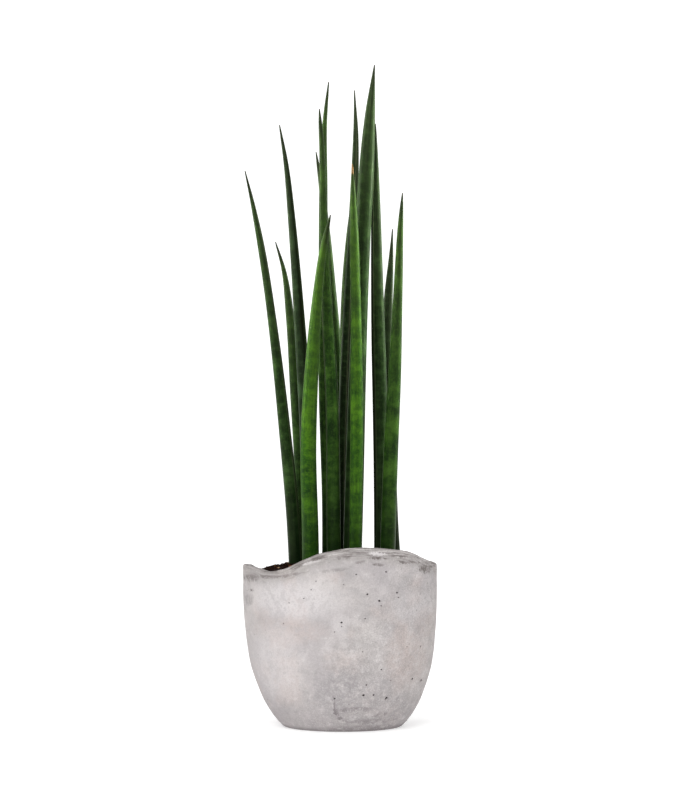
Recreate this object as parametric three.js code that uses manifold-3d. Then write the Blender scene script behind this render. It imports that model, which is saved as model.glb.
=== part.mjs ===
// Mikado snake plant: fourteen stick leaves in dark potting soil, in a concrete pot with a wavy rim.
// Millimetres. The origin is the centre of the pot's base, +Z is up and the front looks along -Y.
import * as THREE from 'three'
import { mergeVertices } from 'three/addons/utils/BufferGeometryUtils.js'
import Module from 'manifold-3d'

const wasm = await Module()
wasm.setup()

// Driving dimensions
const POT_RADIUS = 80
const POT_SHOULDER = 110 // height from which the outer wall stands straight
const FOOT_SHIFT = 2.2 // how far the cast foot sits to the right of the rim's centre
const SHIFT_POWER = 1.3
const WALL = 8
const FLOOR = 10
const GAP = 0.3 // between pot and soil, and between soil and leaves
const SEAT = 0.05 // soil over the pot's floor
const POT_SEGMENTS = 64
const LEAF_FOOT = 100 // height of the buried end of every leaf
const LEAF_SIDES = 12
const LEAF_RINGS = 16
const LEAF_LEAN_POWER = 1.35
const CHANNEL_DEPTH = 0.14 // of the leaf's radius
const SOIL_PEAK = 137.5
const BARK_CHIPS = 62
const BARK_SEED = 20417

// Outer radius of the pot up its side: height and radius
const BELLY = [
  [0, 49.8], [5, 53.5], [10, 57.4], [20, 63.5], [30, 67.8], [40, 71.5], [50, 74.5],
  [62, 76.6], [84, 78.7], [POT_SHOULDER, POT_RADIUS], [160, POT_RADIUS]
]

// Height of the rim round the pot: degrees from the front, towards +X, and mm
const RIM = [
  [-180, 135.5], [-160, 133], [-144, 129], [-128, 126.6], [-112, 128.6], [-99, 132],
  [-86, 134], [-75, 134.3], [-66, 134], [-58, 132.4], [-51, 130.5], [-44, 130.7],
  [-37, 132.6], [-32, 134.6], [-23, 140.3], [-13, 145.4], [1, 149.5], [15, 150.6],
  [29, 149.6], [46, 146.2], [58, 141], [65, 138.6], [76, 136.4], [90, 133.9],
  [112, 131.5], [136, 132.8], [158, 135.2]
]

// Leaves: height of the tip, depth (y) of foot and tip, and along the leaf the sideways place (x)
// and the thickness at the two sets of fractions below. The last number turns the channel.
const PLACE_AT = [0, 0.2, 0.4, 0.6, 0.8, 0.92, 1]
const THICK_AT = [0, 0.25, 0.5, 0.7, 0.82, 0.91, 0.97, 1]
const TIP_THICKNESS = 0.9
const LEAVES = [
  [455.6, -8, -26, [-34.8, -38.4, -45.1, -52.9, -62.8, -70.9, -77.5], [11.9, 11.1, 9, 6.9, 5.9, 3.9, 2], 200],
  [400, 10, 24, [-28.2, -31.3, -33.1, -37.3, -41.8, -46.7, -53.7], [10.8, 10.7, 9.9, 7.9, 6.5, 4.1, 2.1], 250],
  [495.4, -4, 0, [-20.4, -25.2, -28.3, -33.4, -39.6, -44.5, -49.9], [12.4, 11.9, 10.4, 8, 6.2, 4.4, 2.4], 222],
  [418.9, -22, -40, [-23.4, -24.4, -25.8, -23.2, -18, -13.2, -7.7], [14.1, 13.6, 12.5, 10, 7.7, 5.7, 3.1], 292],
  [531.6, 4, 8, [-9.6, -9.7, -12.7, -13.6, -13.7, -12.6, -9.4], [10.9, 10.5, 9.1, 7.6, 6.6, 4.2, 2.4], 310],
  [506.9, -14, -18, [-4.6, -5.5, -6.5, -10.6, -13.8, -14.9, -16.9], [11.6, 11.5, 10.2, 7.8, 5.9, 4.6, 3.1], 232],
  [477.4, 38, 56, [11.5, 6.3, 1.5, -4.2, -10.7, -15.6, -20.2], [10.1, 10, 9.4, 7.5, 6.4, 4.8, 2.7], 60],
  [525, 10, 12, [4.2, 2.6, 4.5, 7.9, 11.9, 13.1, 12], [10.8, 10.5, 9.7, 8.2, 6.7, 4.7, 2.1], 218],
  [543.6, -8, -12, [9.2, 11.5, 14, 17.1, 21.6, 25.1, 28.3], [15.5, 15.4, 13.6, 12.6, 12, 8.2, 3.5], 330],
  [460.3, -26, -40, [11.9, 12.8, 13.4, 13.2, 11.8, 10.6, 10], [9.7, 10.5, 10.3, 8.6, 7.7, 5.3, 2.6], 226],
  [435.6, 24, 34, [6.5, 5.6, 4.9, 4, 5.1, 7.4, 9.6], [10, 10, 9.4, 8.1, 6.2, 4, 2], 235],
  [496.5, 2, 4, [34.3, 34.1, 33.1, 31.2, 29.8, 29.4, 29.3], [12.2, 12.1, 11.9, 9.7, 7.7, 5.1, 2.6], 305],
  [437.4, -15, -30, [38.1, 39.7, 42, 45.3, 47.8, 49.3, 50.9], [12.3, 12.3, 11.4, 8.4, 6.7, 4.9, 2.7], 215],
  [411.1, 18, 30, [47.5, 43.1, 41.3, 39.3, 40.1, 42.5, 43.8], [11.6, 11.1, 9.4, 8.2, 7.2, 4.4, 2], 20]
]

// Small helpers
const degrees = THREE.MathUtils.degToRad

function curveThrough(places, values) {
  const smooth = new THREE.CubicInterpolant(places, values, 1, new Float64Array(1))
  return (place) => smooth.evaluate(place)[0]
}

function solidFrom(geometry) {
  geometry.deleteAttribute('normal')
  geometry.deleteAttribute('uv')
  const merged = mergeVertices(geometry, 1e-4)
  const corners = merged.index.array
  const kept = []
  for (let i = 0; i < corners.length; i += 3) {
    const [a, b, c] = corners.slice(i, i + 3)
    if (a !== b && b !== c && c !== a) kept.push(a, b, c)
  }
  return new wasm.Manifold(new wasm.Mesh({
    numProp: 3,
    vertProperties: new Float32Array(merged.attributes.position.array),
    triVerts: new Uint32Array(kept)
  }))
}

function meshFrom(solid, name, look) {
  const { vertProperties, triVerts } = solid.getMesh()
  const geometry = new THREE.BufferGeometry()
  geometry.setAttribute('position', new THREE.BufferAttribute(vertProperties, 3))
  geometry.setIndex(new THREE.BufferAttribute(triVerts, 1))
  geometry.computeVertexNormals()
  const mesh = new THREE.Mesh(geometry, new THREE.MeshStandardMaterial({ metalness: 0, ...look }))
  mesh.name = name
  return mesh
}

// A closed shell of revolution about Z from [radius, height] points, from the axis back to the axis.
// "place" may then move each point: it gets the angle from the front, the radius and the height.
function turned(profile, place) {
  const points = profile.map(([r, z]) => new THREE.Vector2(r, z))
  const geometry = new THREE.LatheGeometry(points, POT_SEGMENTS)
  geometry.rotateX(Math.PI / 2)
  const p = geometry.attributes.position
  for (let i = 0; i < p.count; i++) {
    const r = Math.hypot(p.getX(i), p.getY(i))
    const angle = r > 1e-6 ? THREE.MathUtils.radToDeg(Math.atan2(p.getX(i), -p.getY(i))) : 0
    const z = place(angle, r, p.getZ(i))
    const shift = FOOT_SHIFT * Math.max(0, 1 - z / POT_SHOULDER) ** SHIFT_POWER
    p.setXYZ(i, p.getX(i) + shift, p.getY(i), z)
  }
  return solidFrom(geometry)
}

// Pot: belly curve, constant wall, rounded lip that follows the wavy rim
const rimAround = curveThrough(
  [...RIM.slice(-3).map(([a]) => a - 360), ...RIM.map(([a]) => a), ...RIM.slice(0, 3).map(([a]) => a + 360)],
  [...RIM.slice(-3).map(([, z]) => z), ...RIM.map(([, z]) => z), ...RIM.slice(0, 3).map(([, z]) => z)]
)
const bellyCurve = curveThrough(BELLY.map(([z]) => z), BELLY.map(([, r]) => r))
const belly = (z) => z < POT_SHOULDER ? bellyCurve(z) : POT_RADIUS

function insideOf(z, wall) {
  const lean = Math.atan2(belly(z + 0.5) - belly(z - 0.5), 1)
  return [belly(z) - wall * Math.cos(lean), z + wall * Math.sin(lean)]
}

// Points above the shoulder are given as the shoulder's height plus a share of the way to the rim
const ABOVE = 1000
const lip = (drop) => ABOVE - drop
const outside = [[0, 0], [47, 0], [49.3, 0.7], [51, 2.4]]
for (const z of [6, 12, 20, 31, 44, 62, 84, POT_SHOULDER]) outside.push([belly(z), z])
const rounded = [[POT_RADIUS, lip(3.6)], [POT_RADIUS - 1, lip(1.1)], [POT_RADIUS - 3, lip(0)],
  [POT_RADIUS - 5, lip(0)], [POT_RADIUS - 7, lip(1.1)], [POT_RADIUS - WALL, lip(3.6)]]
const innerHeights = [POT_SHOULDER, 84, 62, 44, 31, 20, 12]
const hollow = innerHeights.map((z) => insideOf(z, WALL)).filter(([, z]) => z > FLOOR + 2)
const cornerRadius = hollow[hollow.length - 1][0]
hollow.push([cornerRadius - 7, FLOOR + 1.6], [cornerRadius - 13, FLOOR], [0, FLOOR])
const potSolid = turned([...outside, ...rounded, ...hollow],
  (angle, r, z) => z > ABOVE / 2 ? rimAround(angle) - (ABOVE - z) : z)

// Leaves: a cone whose rings are laid along the leaf's own line, with one shallow channel
function leafSolid([tip, footY, tipY, placesX, thicknesses, turn], grow) {
  const across = curveThrough(PLACE_AT, placesX)
  const thickness = curveThrough(THICK_AT, [...thicknesses, TIP_THICKNESS])
  const line = (t) => new THREE.Vector3(
    across(t), footY + (tipY - footY) * t ** LEAF_LEAN_POWER, LEAF_FOOT + (tip - LEAF_FOOT) * t)
  const geometry = new THREE.ConeGeometry(1, 1, LEAF_SIDES, LEAF_RINGS)
  const p = geometry.attributes.position
  for (let i = 0; i < p.count; i++) {
    const s = p.getY(i) + 0.5
    const t = 1 - (1 - s) ** 1.6
    const centre = line(t)
    if (s < 1) {
      const ahead = line(Math.min(1, t + 0.01)).sub(line(Math.max(0, t - 0.01))).normalize()
      const sideways = new THREE.Vector3(0, 1, 0).cross(ahead).normalize()
      const forwards = ahead.clone().cross(sideways)
      const share = Math.hypot(p.getX(i), p.getZ(i)) / (1 - s)
      const angle = Math.atan2(p.getX(i), p.getZ(i))
      const round = share * (thickness(t) / 2 + grow)
      const reach = Math.abs(angle) < 0.1 ? round * (1 - CHANNEL_DEPTH) : round
      centre.addScaledVector(sideways, reach * Math.cos(angle + degrees(turn)))
      centre.addScaledVector(forwards, reach * Math.sin(angle + degrees(turn)))
      if (s < 1e-6) centre.addScaledVector(ahead, -grow)
    }
    p.setXYZ(i, centre.x, centre.y, centre.z)
  }
  return solidFrom(geometry)
}

// Soil: a lathe that fills the pot's hollow, mounded at the top, with bark chips sunk into it
const soilEdge = (angle) => Math.min(rimAround(angle) - 3.4, 129)
const lumps = (x, y) => Math.sin(x * 0.21 + 1.3) * Math.cos(y * 0.17 - 0.4) + 0.6 * Math.sin(x * 0.11 - y * 0.23)

function soilHeight(x, y) {
  const r = Math.hypot(x, y)
  const inner = Math.max(0, 1 - (r / (POT_RADIUS - WALL)) ** 2.2)
  const edge = soilEdge(THREE.MathUtils.radToDeg(Math.atan2(x, -y)))
  return edge + (SOIL_PEAK - edge) * inner + lumps(x, y) * Math.min(1, inner * 2.5)
}

const filling = innerHeights.map((z) => insideOf(z, WALL + GAP)).filter(([, z]) => z > FLOOR + 2)
const under = filling.reverse()
const base = [[0, FLOOR + SEAT], [cornerRadius - 13.3, FLOOR + SEAT],
  [cornerRadius - 7.3, FLOOR + 1.6 + GAP]]
const top = [71.7, 66, 58, 47, 34, 18, 0].map((r) => [r, ABOVE])
const mound = turned([...base, ...under, ...top],
  (angle, r, z) => z > ABOVE / 2
    ? soilHeight(r * Math.sin(degrees(angle)), -r * Math.cos(degrees(angle))) : z)

let seed = BARK_SEED
function random() {
  seed = (seed * 1664525 + 1013904223) % 4294967296
  return seed / 4294967296
}

const feet = LEAVES.map(([, footY, , placesX, thick]) => [placesX[0] * 0.6 + placesX[1] * 0.4, footY, thick[0] / 2])
const chips = []
while (chips.length < BARK_CHIPS) {
  const r = 65 * Math.sqrt(random())
  const around = random() * Math.PI * 2
  const [x, y] = [r * Math.sin(around), -r * Math.cos(around)]
  const [long, wide, high] = [6 + 8 * random(), 4 + 4 * random(), 3.5 + 2.5 * random()]
  const [heading, tiltX, tiltY] = [random() * Math.PI, random() - 0.5, random() - 0.5]
  const span = Math.hypot(long, wide) / 2
  const clear = feet.every(([fx, fy, fr]) => Math.hypot(fx - x, fy - y) > fr + span + 0.5)
  if (!clear || r + span > 69.5) continue
  const chip = new THREE.BoxGeometry(long, wide, high)
  const p = chip.attributes.position
  for (let i = 0; i < p.count; i++) {
    if (p.getZ(i) > 0) p.setXYZ(i, p.getX(i) * 0.72, p.getY(i) * 0.6, p.getZ(i))
  }
  chip.rotateX(tiltX)
  chip.rotateY(tiltY)
  chip.rotateZ(heading)
  chip.translate(x, y, soilHeight(x, y) - high * 0.18)
  chips.push(solidFrom(chip))
}
let soilSolid = mound.add(wasm.Manifold.union(chips))
soilSolid = soilSolid.subtract(wasm.Manifold.union(LEAVES.map((leaf) => leafSolid(leaf, GAP))))

const group = new THREE.Group()
group.add(meshFrom(potSolid, 'pot', { color: '#c9c2c0', roughness: 0.5 }))
group.add(meshFrom(soilSolid, 'soil', { color: '#33241b', roughness: 0.95 }))
const greens = ['#33512c', '#2f4a29', '#26381f', '#5e8f38', '#3f6330', '#3d5f30', '#35512b',
  '#2c4425', '#3b5c2e', '#5e8f38', '#35512b', '#2f4a29', '#41682f', '#263a20']
LEAVES.forEach((leaf, i) => {
  const name = 'leaf_' + String(i + 1).padStart(2, '0')
  group.add(meshFrom(leafSolid(leaf, 0), name, { color: greens[i], roughness: 0.45 }))
})

export default group
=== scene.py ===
# %% [markdown]
# # A potted mikado snake plant
# Fourteen slender round leaves stand in dark potting mix, in a cast concrete pot with a wavy rim.
# The solid model is already packed: it fixes the place and the size of every piece. This lesson gives
# those pieces the surface that a camera sees. Everything is in metres, in the solid model's frame, with
# the origin at the centre of the pot's base, +Z up and the front of the pot towards -Y.

# %% Load the solid model
import bisect
import math
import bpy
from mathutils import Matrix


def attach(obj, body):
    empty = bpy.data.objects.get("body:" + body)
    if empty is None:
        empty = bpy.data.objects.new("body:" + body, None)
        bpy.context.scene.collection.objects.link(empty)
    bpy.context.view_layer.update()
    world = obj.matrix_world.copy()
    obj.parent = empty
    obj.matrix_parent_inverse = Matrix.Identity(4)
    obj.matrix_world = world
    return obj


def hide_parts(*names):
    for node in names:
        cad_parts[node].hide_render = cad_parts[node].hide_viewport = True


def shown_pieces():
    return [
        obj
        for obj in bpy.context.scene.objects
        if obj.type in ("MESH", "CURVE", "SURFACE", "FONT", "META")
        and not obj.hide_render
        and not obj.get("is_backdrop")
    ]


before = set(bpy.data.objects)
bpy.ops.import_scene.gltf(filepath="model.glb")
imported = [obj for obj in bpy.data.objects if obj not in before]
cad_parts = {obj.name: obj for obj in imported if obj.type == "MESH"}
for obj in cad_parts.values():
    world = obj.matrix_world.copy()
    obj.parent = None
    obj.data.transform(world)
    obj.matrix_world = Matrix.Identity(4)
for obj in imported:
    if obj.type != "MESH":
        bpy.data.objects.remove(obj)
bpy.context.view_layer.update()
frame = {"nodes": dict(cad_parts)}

from types import SimpleNamespace

import bmesh
import bpy
import numpy as np
from mathutils import Vector, noise

MM = 0.001
print("nodes:", ", ".join(frame["nodes"]))

# %% [markdown]
# ## The camera
# The photograph looks almost level at the plant from far away, so the leaves hardly converge. A long lens
# at two and a half metres gives that calm view. The long side of the picture, 800 px, stands for the
# 36 mm side of the sensor, and the aim is a little right of the pot's axis, because the plant stands a
# little left in the picture.

# %% Place the camera
PICTURE_LONG_SIDE = 800
FOCAL_PIXELS = 3031
SENSOR = 36.0

camera_data = bpy.data.cameras.new("studio_camera")
camera_data.sensor_width = SENSOR
camera_data.lens = FOCAL_PIXELS / PICTURE_LONG_SIDE * SENSOR
camera_data.dof.use_dof = False
camera = bpy.data.objects.new("studio_camera", camera_data)
bpy.context.scene.collection.objects.link(camera)
camera.location = (0.0, -2.5, 0.28)
aim = Vector((0.00825, 0.0, 0.2685))
camera.rotation_euler = (aim - camera.location).to_track_quat("-Z", "Y").to_euler()
bpy.context.scene.camera = camera
print("lens", round(camera_data.lens, 1), "mm")

# %% [markdown]
# ## Smooth curves through measured points
# The pot's side, its rim and every leaf were measured at a few places. A cubic piece between each pair of
# neighbours joins them smoothly. The solid model uses the same rule, so the dressing lies on the solids.

# %% A curve through points
def curve_through(places, values):
    places, values = list(places), list(values)

    def at(place):
        place = min(max(place, places[0]), places[-1])
        i = min(max(bisect.bisect_right(places, place), 1), len(places) - 1)
        start, end = places[i - 1], places[i]
        half = (end - start) / 2
        before, pull_before = (values[i - 2], half / (start - places[i - 2])) if i > 1 else (values[i], -0.5)
        after, pull_after = ((values[i + 1], half / (places[i + 1] - end)) if i + 1 < len(places)
                             else (values[i - 1], -0.5))
        p = (place - start) / (end - start)
        p2, p3 = p * p, p * p * p
        return (before * pull_before * (-p3 + 2 * p2 - p)
                + values[i - 1] * ((1 + pull_before) * p3 + (-1.5 - 2 * pull_before) * p2
                                   + (-0.5 + pull_before) * p + 1)
                + values[i] * ((-1 - pull_after) * p3 + (1.5 + pull_after) * p2 + 0.5 * p)
                + after * pull_after * (p3 - p2))
    return at


example = curve_through([0, 1, 2], [0, 1, 4])
print("on a curve through 0, 1 and 4, half way between 1 and 4:", round(example(1.5), 2))

# %% [markdown]
# ## The pot's measures
# A cast pot has a smooth round side, but this rim was shaped freely. The side is a list of radii at a few
# heights, and the rim is a list of heights round the pot, in degrees from the front to the right. A lathe
# could turn the side but not the rim, so both stay short lists that the smooth curve joins.

# %% The pot's measured side and rim, in mm
POT_RADIUS = 80.0
POT_SHOULDER = 110.0
WALL = 8.0
FLOOR = 10.0
FOOT_SHIFT = 2.2
SHIFT_POWER = 1.3
BELLY = [(0, 49.8), (5, 53.5), (10, 57.4), (20, 63.5), (30, 67.8), (40, 71.5), (50, 74.5),
         (62, 76.6), (84, 78.7), (POT_SHOULDER, POT_RADIUS), (160, POT_RADIUS)]
RIM = [(-180, 135.5), (-160, 133), (-144, 129), (-128, 126.6), (-112, 128.6), (-99, 132),
       (-86, 134), (-75, 134.3), (-66, 134), (-58, 132.4), (-51, 130.5), (-44, 130.7),
       (-37, 132.6), (-32, 134.6), (-23, 140.3), (-13, 145.4), (1, 149.5), (15, 150.6),
       (29, 149.6), (46, 146.2), (58, 141), (65, 138.6), (76, 136.4), (90, 133.9),
       (112, 131.5), (136, 132.8), (158, 135.2)]

wrapped = [(a - 360, z) for a, z in RIM[-3:]] + RIM + [(a + 360, z) for a, z in RIM[:3]]
rim_height = curve_through([a for a, _ in wrapped], [z for _, z in wrapped])
belly_curve = curve_through([z for z, _ in BELLY], [r for _, r in BELLY])


def belly(z):
    return belly_curve(z) if z < POT_SHOULDER else POT_RADIUS


def foot_shift(z):
    return FOOT_SHIFT * max(0.0, 1 - z / POT_SHOULDER) ** SHIFT_POWER


def inside_of(z, wall):
    lean = math.atan2(belly(z + 0.5) - belly(z - 0.5), 1)
    return belly(z) - wall * math.cos(lean), z + wall * math.sin(lean)


print("rim from", min(z for _, z in RIM), "to", max(z for _, z in RIM), "mm")

# %% [markdown]
# ## Nodes as Python
# A material and a Geometry Nodes tree are both graphs. They could be joined by hand in the editor, but a
# script can be read, run again and changed. This class wraps an output socket, so that arithmetic on it can
# be written as plain Python and turns into Math nodes.

# %% A socket with arithmetic
def linear(code):
    """A screen colour such as #33512c as the linear values that a shader takes."""
    parts = [int(code[i:i + 2], 16) / 255 for i in (1, 3, 5)]
    return tuple(p / 12.92 if p <= 0.04045 else ((p + 0.055) / 1.055) ** 2.4 for p in parts) + (1.0,)


def socket_of(node, key):
    """An input by its number or its name, or by its identifier where several share a name."""
    if isinstance(key, int) or key in node.inputs:
        return node.inputs[key]
    return next(socket for socket in node.inputs if socket.identifier == key)


class Wire:
    """An output socket with arithmetic."""

    def __init__(self, graph, socket):
        self.graph, self.socket = graph, socket

    def math(self, operation, *values, clamp=False):
        inputs = dict(enumerate((self,) + values))
        return self.graph.add("ShaderNodeMath", {"operation": operation, "use_clamp": clamp}, inputs)

    def __add__(self, other):
        return self.math("ADD", other)

    __radd__ = __add__

    def __mul__(self, other):
        return self.math("MULTIPLY", other)

    __rmul__ = __mul__

    def __sub__(self, other):
        return self.math("SUBTRACT", other)

    def __rsub__(self, other):
        return (self * -1.0) + other

    def __truediv__(self, other):
        return self.math("DIVIDE", other)

    def __pow__(self, other):
        return self.math("POWER", other)

    def clamped(self):
        return self.math("ADD", 0.0, clamp=True)

    def between(self, low, high):
        """0 below low, 1 above high, smooth in between."""
        kind = {"interpolation_type": "SMOOTHSTEP"}
        return self.graph.add("ShaderNodeMapRange", kind, {"Value": self, "From Min": low, "From Max": high})


print("mid grey in linear light:", round(linear("#808080")[0], 3))

# %% [markdown]
# The second class holds one tree. Each node is added in one line, with its settings and with what feeds its
# inputs, so a graph reads from top to bottom in the order in which the finish or the shape is made.

# %% A graph that adds nodes
class Graph:
    """Adds nodes to one tree: the settings first, then each socket's value or link."""

    def __init__(self, tree):
        self.tree = tree

    def node(self, kind, settings=None, inputs=None):
        node = self.tree.nodes.new(kind)
        for key, value in (settings or {}).items():
            if key == "stops":
                for k, (place, colour) in enumerate(value):
                    stop = node.color_ramp.elements[k] if k < 2 else node.color_ramp.elements.new(place)
                    stop.position, stop.color = place, colour
            else:
                setattr(node, key, value)
        for key, value in (inputs or {}).items():
            if isinstance(value, Wire):
                self.tree.links.new(value.socket, socket_of(node, key))
            else:
                socket_of(node, key).default_value = value
        return node

    def add(self, kind, settings=None, inputs=None, output=0):
        node = self.node(kind, settings, inputs)
        return Wire(self, node.outputs[output])

    def mix(self, share, first, second, blend="MIX"):
        """Mixes two colours."""
        settings = {"data_type": "RGBA", "blend_type": blend}
        return self.add("ShaderNodeMix", settings, {0: share, 6: first, 7: second}, output=2)

    def scaled(self, vector, factors):
        return self.add("ShaderNodeVectorMath", {"operation": "MULTIPLY"}, {0: vector, 1: factors})

    def noise(self, vector, scale, detail=2.0, roughness=0.5, distortion=0.0):
        values = {"Vector": vector, "Scale": scale, "Detail": detail, "Roughness": roughness,
                  "Distortion": distortion}
        return self.add("ShaderNodeTexNoise", None, values)

    def attribute(self, name, output="Fac"):
        return self.add("ShaderNodeAttribute", {"attribute_name": name}, None, output)

    def bump(self, height, strength, distance, normal=None):
        values = {"Height": height, "Strength": strength, "Distance": distance}
        if normal is not None:
            values["Normal"] = normal
        return self.add("ShaderNodeBump", None, values)


def new_material(name):
    material = bpy.data.materials.new(name)
    material.use_nodes = True
    material.node_tree.nodes.clear()
    return material, Graph(material.node_tree)


def finish_material(graph, **inputs):
    shader = graph.add("ShaderNodeBsdfPrincipled", None, inputs)
    graph.node("ShaderNodeOutputMaterial", None, {"Surface": shader})


# %% [markdown]
# ## Meshes and trees from Python
# Blender keeps a shape as a mesh, and a rule that makes shapes as a Geometry Nodes tree on a modifier. One
# helper turns the result of any modifier into a plain mesh. The others add objects, count triangles, and
# read and write what a mesh keeps for each of its points.

# %% Helpers for meshes
def new_object(name, data):
    made = bpy.data.objects.new(name, data)
    bpy.context.scene.collection.objects.link(made)
    return made


def plain_mesh(source, name):
    """The evaluated shape of an object as a mesh object of its own; the source goes."""
    evaluated = source.evaluated_get(bpy.context.evaluated_depsgraph_get())
    mesh = bpy.data.meshes.new_from_object(evaluated)
    bpy.data.objects.remove(source)
    mesh.name = name
    return new_object(name, mesh)


def set_attribute(mesh, name, values):
    layer = mesh.attributes.new(name, "FLOAT", "POINT")
    layer.data.foreach_set("value", np.asarray(values, dtype=np.float32))


def triangles(mesh):
    return sum(len(p.vertices) - 2 for p in mesh.polygons)


def points_of(mesh):
    flat = np.empty(len(mesh.vertices) * 3)
    mesh.vertices.foreach_get("co", flat)
    return flat.reshape(-1, 3)


# %% [markdown]
# A tree's inputs have names for the reader and identifiers for Blender, and the values go in by the
# identifier. Every tree ends alike: its instances become real geometry, and that takes the finish.

# %% Helpers for trees
def run_tree(target, tree, **values):
    """Puts a Geometry Nodes tree on an object and sets its named inputs by their identifiers."""
    modifier = target.modifiers.new(tree.name, "NODES")
    modifier.node_group = tree
    sockets = {item.name: item.identifier for item in tree.interface.items_tree if item.in_out == "INPUT"}
    for name, value in values.items():
        modifier[sockets[name.replace("_", " ")]] = value


def new_tree(name, sockets):
    """An empty Geometry Nodes tree with the sockets (name, kind, value) and one Geometry output."""
    tree = bpy.data.node_groups.new(name, "GeometryNodeTree")
    for label, kind, value in sockets:
        item = tree.interface.new_socket(label, in_out="INPUT", socket_type="NodeSocket" + kind)
        if value is not None:
            item.default_value = value
    tree.interface.new_socket("Result", in_out="OUTPUT", socket_type="NodeSocketGeometry")
    graph = Graph(tree)
    entry = graph.node("NodeGroupInput")
    return tree, graph, {label: Wire(graph, entry.outputs[label]) for label, _, _ in sockets}


def end_tree(graph, geometry, material):
    """Realize Instances and Set Material close every tree."""
    real = graph.add("GeometryNodeRealizeInstances", None, {"Geometry": geometry})
    dressed = graph.add("GeometryNodeSetMaterial", None, {"Geometry": real, "Material": material})
    graph.node("NodeGroupOutput", None, {0: dressed})


# %% [markdown]
# ## The pot's shell
# The pot is cast in a mould: a belly that curves in to a small foot, a wall of even thickness, and a rim
# that rises and falls like a wave, rounded over by hand. A lathe would give a level rim, so the rings are
# laid one by one in code: each ring is a height on the profile, and near the top the height is counted down
# from the rim.

# %% The pot's profile
LIP_HEIGHT = 2.8


def lip_points(count=14):
    """(radius, mm below the rim) over the rounded lip, from outside to inside."""
    half = WALL / 2
    for k in range(count + 1):
        turn = math.pi * k / count
        across = math.copysign(abs(math.cos(turn)) ** 0.6, math.cos(turn))
        yield POT_RADIUS - half + half * across, LIP_HEIGHT * (1 - math.sin(turn) ** 0.6)


def pot_profile():
    """(radius, height, share of the way from the shoulder to the lip, mm below the rim)."""
    rings = [(r, 0.0, 0.0, None) for r in (16, 32, 42, 46.8)]
    rings += [(48.2, 0.15, 0, None), (49.3, 0.7, 0, None), (50.2, 1.5, 0, None), (51.0, 2.4, 0, None)]
    rings += [(belly(z), z, 0, None) for z in np.arange(4.0, POT_SHOULDER + 0.1, 2.65)]
    rings += [(POT_RADIUS, POT_SHOULDER, share, None) for share in np.linspace(0.08, 0.94, 12)]
    rings += [(r, 0, 0, drop) for r, drop in lip_points()]
    rings += [(POT_RADIUS - WALL, POT_SHOULDER, share, None) for share in (0.85, 0.6, 0.4, 0.2)]
    inner = [inside_of(z, WALL) for z in (POT_SHOULDER, 97, 84, 72, 62, 53, 44, 37, 31, 25, 20)]
    rings += [(r, z, 0, None) for r, z in inner if z > FLOOR + 2]
    corner = rings[-1][0]
    rings += [(corner - 7, FLOOR + 1.6, 0, None), (corner - 13, FLOOR, 0, None), (20, FLOOR, 0, None)]
    return rings


print("rings of the pot:", len(pot_profile()))

# %% [markdown]
# Each ring is laid round the pot, and at every angle it follows the rim's own height there. At the left the
# lip is worn and slopes inwards. A little noise keeps the cast wall from looking machined.

# %% A point on the pot
WORN_DEPTH = 3.4
WORN_PLACE = -72
WORN_REACH = 13


def worn_lip(degrees):
    """How far the lip's inner edge lies below its outer edge, in mm."""
    return WORN_DEPTH * math.exp(-((degrees - WORN_PLACE) / WORN_REACH) ** 2)


def pot_point(ring, degrees):
    radius, height, share, drop = ring
    turn = math.radians(degrees)
    rim = rim_height(degrees) - worn_lip(degrees) * (POT_RADIUS - radius) / WALL
    z = rim - drop if drop is not None else height + share * (rim - LIP_HEIGHT - height)
    direction = Vector((math.sin(turn), -math.cos(turn), 0))
    wobble = 0.22 * noise.noise(direction * 2.2 + Vector((0, 0, z * 0.028)))
    wobble += 0.10 * noise.noise(direction * 9 + Vector((0, 0, z * 0.1)))
    if drop is not None:
        near_lip = 1 - drop / LIP_HEIGHT
        z += near_lip * (0.35 * noise.noise(direction * 7) + 0.25 * noise.noise(direction * 26))
    if height == 0 and drop is None:
        wobble = 0.0
    at = direction * (radius + wobble) + Vector((foot_shift(z), 0, z))
    return at * MM


print("the lip is worn by up to", worn_lip(WORN_PLACE), "mm")

# %% [markdown]
# The points of two neighbouring rings are joined by four-sided faces. A fan of triangles closes the foot,
# and another closes the inner floor, so that the pot is one closed body.

# %% Lay the pot's rings
POT_SIDES = 288


def pot_mesh():
    rings = pot_profile()
    verts = [pot_point(ring, -180 + 360 * k / POT_SIDES) for ring in rings for k in range(POT_SIDES)]
    faces = []
    for level in range(len(rings) - 1):
        for k in range(POT_SIDES):
            a, b = level * POT_SIDES + k, level * POT_SIDES + (k + 1) % POT_SIDES
            faces.append((a, b, b + POT_SIDES, a + POT_SIDES))
    for level, z, order in ((0, 0.0, -1), (len(rings) - 1, FLOOR, 1)):
        verts.append(Vector((foot_shift(z), 0, z)) * MM)
        for k in range(POT_SIDES):
            a, b = level * POT_SIDES + k, level * POT_SIDES + (k + 1) % POT_SIDES
            faces.append((a, b, len(verts) - 1)[::order])
    mesh = bpy.data.meshes.new("pot_shell")
    mesh.from_pydata([tuple(v) for v in verts], [], faces)
    mesh.validate()
    return mesh


pot = new_object("pot_shell", pot_mesh())
print("pot shell:", triangles(pot.data), "triangles")

# %% [markdown]
# ## A tree that scatters
# Air holes in the concrete, crumbs of potting mix and bark chips are all the same task: small shapes strewn
# over a surface at random. One tree does all three. It strews points with a fixed seed, sinks them a little
# into the surface, and puts one shape out of a collection on each, turned and sized at random.

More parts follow.
